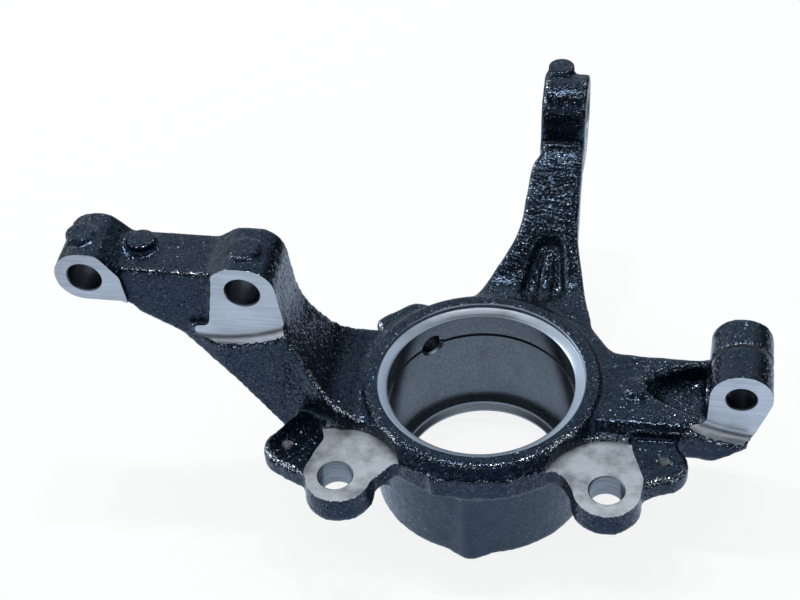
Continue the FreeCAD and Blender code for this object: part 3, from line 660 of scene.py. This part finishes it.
rim = [(0, RIM_Z + 20), (MOUTH_RADIUS + MOUTH_EDGE, RIM_Z + 20),
       (MOUTH_RADIUS + MOUTH_EDGE, RIM_Z + 0.3), (MOUTH_RADIUS, RIM_Z - MOUTH_EDGE_DEPTH),
       (MOUTH_RADIUS - 0.1, RIM_Z - MOUTH_STEP), (MOUTH_RADIUS - 0.4, RIM_Z - MOUTH_STEP - 0.2),
       (MOUTH_LEDGE_RADIUS, RIM_Z - MOUTH_LEDGE_DEPTH), (SEAT_RADIUS, RIM_Z - MOUTH_DEPTH),
       (0, RIM_Z - MOUTH_DEPTH)]
seat = [(0, RIM_Z), (SEAT_RADIUS, RIM_Z), (SEAT_RADIUS, SEAT_BOTTOM), (0, SEAT_BOTTOM)]
groove = [(0, CIRCLIP_TOP), (SEAT_RADIUS + CIRCLIP_CUT, CIRCLIP_TOP),
          (SEAT_RADIUS + CIRCLIP_CUT, CIRCLIP_BOTTOM), (SEAT_RADIUS, CIRCLIP_BOTTOM - 0.25),
          (0, CIRCLIP_BOTTOM - 0.25)]
shoulder = [(0, SEAT_BOTTOM + 3), (RELIEF_RADIUS, SEAT_BOTTOM + 3), (RELIEF_RADIUS, RELIEF_BOTTOM),
            (LIP_RADIUS, RELIEF_BOTTOM - (RELIEF_RADIUS - LIP_RADIUS)), (LIP_RADIUS, FOOT_Z - 20),
            (0, FOOT_Z - 20)]
# The circlip groove takes the lighter shoulder metal instead of the ground bore's, as painted light in
# the shade under the lip.
for name, profile, material in (("rim", rim, MOUTH), ("seat", seat, BORED),
                                ("groove", groove, SHOULDER), ("shoulder", shoulder, SHOULDER)):
    machine(turned(name, (0, 0, 0), (0, 0, 1), profile, 192), material)
for side in ("left", "right"):
    bolt = place_of("caliper_bolt_" + side)
    face = bolt.z + length_of("caliper_bolt_" + side) / 2
    spot = rod("spot", (bolt.x, bolt.y, face + 10), (0, 0, 1), SPOT_RADIUS, 20, 128)
    spot.data.materials.append(SPOT_FACED)
    spot.data.materials.append(PAINT)
    for polygon in spot.data.polygons:
        polygon.material_index = int(abs(polygon.normal.z) < 0.5)
    cut(casting, spot)
    hole("caliper_bolt_" + side, DRILLED_LIT)
    tapped("shield_screw_" + side)

strut_bolt = place_of("strut_bolt_upper")
strut_front = strut_bolt.y - length_of("strut_bolt_upper") / 2
machine(face_mill("strut_mill", (STRUT_MILL[0], strut_front, STRUT_MILL[1]), (0, -1, 0),
                  MILL_RADIUS, MILL_ROUND), MILLED)
machine(prism("upper_mill", [(strut_bolt.x - 30, strut_bolt.z - 30),
                             (strut_bolt.x + STRUT_MILL_END, strut_bolt.z - 30),
                             (strut_bolt.x + STRUT_MILL_END, strut_bolt.z + 30),
                             (strut_bolt.x - 30, strut_bolt.z + 30)],
              "y", strut_front - 30, strut_front), MILLED)
for name in ("strut_bolt_upper", "strut_bolt_lower"):
    hole(name, DRILLED_SHADED)

pinch = place_of("pinch_bolt")
stud = place_of("ball_stud_clamp")
clamp_front = pinch.y - length_of("pinch_bolt") / 2
machine(face_mill("clamp_mill", (CLAMP_MILL[0], clamp_front, CLAMP_MILL[1]), (0, -1, 0),
                  MILL_RADIUS, MILL_ROUND), MILLED)
hole("pinch_bolt", DRILLED_SHADED)
machine(rod("stud", stud, (1, 0, 0), radius_of("ball_stud_clamp"),
            length_of("ball_stud_clamp") + 1), DRILLED_LIT)
slot = [(SLOT_LEFT, stud.z), (SLOT_RIGHT, stud.z), (SLOT_RIGHT, stud.z + 60), (SLOT_LEFT, stud.z + 60)]
machine(prism("slot", slot, "y", stud.y - SLOT_WIDTH / 2, stud.y + SLOT_WIDTH / 2), MILLED)

sensor = place_of("sensor_hole")
narrow = radius_of("sensor_hole")
machine(rod("sensor", sensor, mounts["sensor_hole"]["axis"], narrow, 30, 48), BORED)
outward = Vector((sensor.x, sensor.y, 0)).normalized()
sensor_mouth = outward * SEAT_RADIUS + Vector((0, 0, sensor.z))
wide = narrow + SENSOR_FLARE
flare = [(0, -3), (wide, -3), (wide, 0.1), (narrow, 0.1 + SENSOR_FLARE), (0, 0.1 + SENSOR_FLARE)]
machine(turned("sensor_mouth", sensor_mouth, outward, flare, 48), MOUTH)
taper = place_of("tie_rod_taper")
tie_seat = place_of("tie_rod_seat")
machine(turned("taper", taper, (1, 0, 0), [(0, -TIE_HALF_LENGTH), (TIE_SMALL, -TIE_HALF_LENGTH),
                                           (TIE_LARGE, TIE_HALF_LENGTH), (0, TIE_HALF_LENGTH)]),
        BORED)
machine(rod("tie_seat", (tie_seat.x + 10, taper.y, taper.z), (1, 0, 0), TIE_SEAT_RADIUS, 20),
        MILLED)

bm = bmesh.new()
bm.from_mesh(casting.data)
for edge in bm.edges:
    edge.smooth = len(edge.link_faces) == 2 and edge.calc_face_angle(3) < SHARP_ANGLE
for face in bm.faces:
    square = max(abs(part) for part in face.normal) > 0.9999
    material = casting.data.materials[face.material_index].name
    face.smooth = not (square and material in FLAT_MATERIALS)
bm.to_mesh(casting.data)
bm.free()
mark_glint_specks(casting)
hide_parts(NODE)
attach(casting, "root")


def plain_material(name, color):
    material, tree, shader = node_material(name)
    shader.inputs["Base Color"].default_value = color
    shader.inputs["Roughness"].default_value = 1.0
    shader.inputs["Specular IOR Level"].default_value = 0.0
    return material, tree, shader


def veil(tree, source, ray, color, share):
    """Mixes a colour, plain or from a node, into what one kind of ray sees of a shader."""
    seen = add(tree, "ShaderNodeLightPath").outputs[ray]
    factor = add(tree, "ShaderNodeMath", {"operation": "MULTIPLY"})
    factor.inputs[1].default_value = share
    tree.links.new(seen, factor.inputs[0])
    light = add(tree, "ShaderNodeEmission", {"Strength": 1.0})
    if isinstance(color, tuple):
        light.inputs["Color"].default_value = color
    else:
        tree.links.new(color, light.inputs["Color"])
    mix = add(tree, "ShaderNodeMixShader")
    tree.links.new(factor.outputs[0], mix.inputs[0])
    tree.links.new(source, mix.inputs[1])
    tree.links.new(light.outputs[0], mix.inputs[2])
    return mix.outputs[0]


floor = prism("floor", [(-3000, -3000), (3000, -3000), (3000, 3000), (-3000, 3000)], "z",
              cad_box[0][2] / MM - 5, cad_box[0][2] / MM - 0.1)
paper, tree, shader = plain_material("floor_white", (0.9, 0.9, 0.9, 1))
seen = veil(tree, shader.outputs[0], "Is Camera Ray", WHITE, 0.85)
place = add(tree, "ShaderNodeTexCoord").outputs["Object"]
away = add(tree, "ShaderNodeVectorMath", {"operation": "LENGTH"}, Vector=place)
paper_tone = ramp(tree, away.outputs["Value"], [(0.24, (0.66, 0.80, 1.0, 1)),
                                                (0.44, (0.02, 0.024, 0.03, 1))])
seen = veil(tree, seen, "Is Glossy Ray", paper_tone.outputs["Color"], 0.85)
tree.links.new(seen, tree.nodes["Material Output"].inputs["Surface"])
floor.data.materials.append(paper)

world = bpy.data.worlds.new("studio")
bpy.context.scene.world = world
world.use_nodes = True
tree = world.node_tree
ray = add(tree, "ShaderNodeLightPath").outputs
direction = add(tree, "ShaderNodeTexCoord").outputs["Generated"]
heading = add(tree, "ShaderNodeSeparateXYZ", Vector=direction).outputs


def product(first, second):
    """The product of a node's output and another's, or a number."""
    node = add(tree, "ShaderNodeMath", {"operation": "MULTIPLY"})
    tree.links.new(first, node.inputs[0])
    if isinstance(second, (int, float)):
        node.inputs[1].default_value = second
    else:
        tree.links.new(second, node.inputs[1])
    return node.outputs[0]


def dark_side(across, sign):
    """Turns the studio's walls dark low down on one side: 1 is bright."""
    lean = add(tree, "ShaderNodeMath", {"operation": "MULTIPLY_ADD"})
    tree.links.new(heading["Z"], lean.inputs[0])
    lean.inputs[1].default_value = -0.9
    tree.links.new(product(heading[across], sign), lean.inputs[2])
    fade = add(tree, "ShaderNodeMapRange", {"From Min": -0.15, "From Max": 0.55,
                                            "To Min": 1.0, "To Max": 0.03}, Value=lean.outputs[0])
    return fade.outputs["Result"]


dark_top = add(tree, "ShaderNodeMapRange", {"From Min": 0.79, "From Max": 0.89,
                                            "To Min": 1.0, "To Max": 0.06}, Value=heading["Z"])
bright = product(product(dark_side("X", 1), dark_side("Y", -1)), dark_top.outputs["Result"])
walls = ramp(tree, bright, [(0.0, (0.0, 0.0, 0.0, 1)), (1.0, (0.80, 0.90, 1.0, 1))])
plain = add(tree, "ShaderNodeMix", {"data_type": "RGBA"})
plain.inputs["A"].default_value = (0.62, 0.66, 0.70, 1)
tree.links.new(ray["Is Glossy Ray"], plain.inputs["Factor"])
tree.links.new(walls.outputs["Color"], plain.inputs["B"])
seen = add(tree, "ShaderNodeMix", {"data_type": "RGBA"})
seen.inputs["B"].default_value = WHITE
tree.links.new(ray["Is Camera Ray"], seen.inputs["Factor"])
tree.links.new(plain.outputs["Result"], seen.inputs["A"])
tree.links.new(seen.outputs["Result"], tree.nodes["Background"].inputs["Color"])


def lamp(name, place, target, width, height, power):
    data = bpy.data.lights.new(name, "AREA")
    data.shape = "RECTANGLE"
    data.size = width
    data.size_y = height
    data.energy = power
    piece = bpy.data.objects.new(name, data)
    bpy.context.scene.collection.objects.link(piece)
    piece.location = place
    aim = (Vector(target) - Vector(place)).to_track_quat("-Z", "Y")
    piece.rotation_euler = aim.to_euler()


lamp("overhead_right", (0.07, 0.34, 1.37), (0, 0, 0), 0.08, 0.07, 4)
lamp("overhead_left", (-0.28, 0.34, 1.37), (0, 0, 0), 0.08, 0.07, 4)
lamp("left", (-1.4, 0.4, 0.9), (0, 0, 0), 0.6, 0.6, 4)

camera_data = bpy.data.cameras.new("camera")
camera_data.lens = 78.43
camera_data.sensor_width = 36
camera = bpy.data.objects.new("camera", camera_data)
bpy.context.scene.collection.objects.link(camera)
camera.location = (0.074123, -0.501960, 0.574458)
camera.rotation_euler = [math.radians(angle) for angle in (45.86472, 3.18252, 8.88920)]
bpy.context.scene.camera = camera
bpy.context.scene.view_settings.view_transform = "Standard"
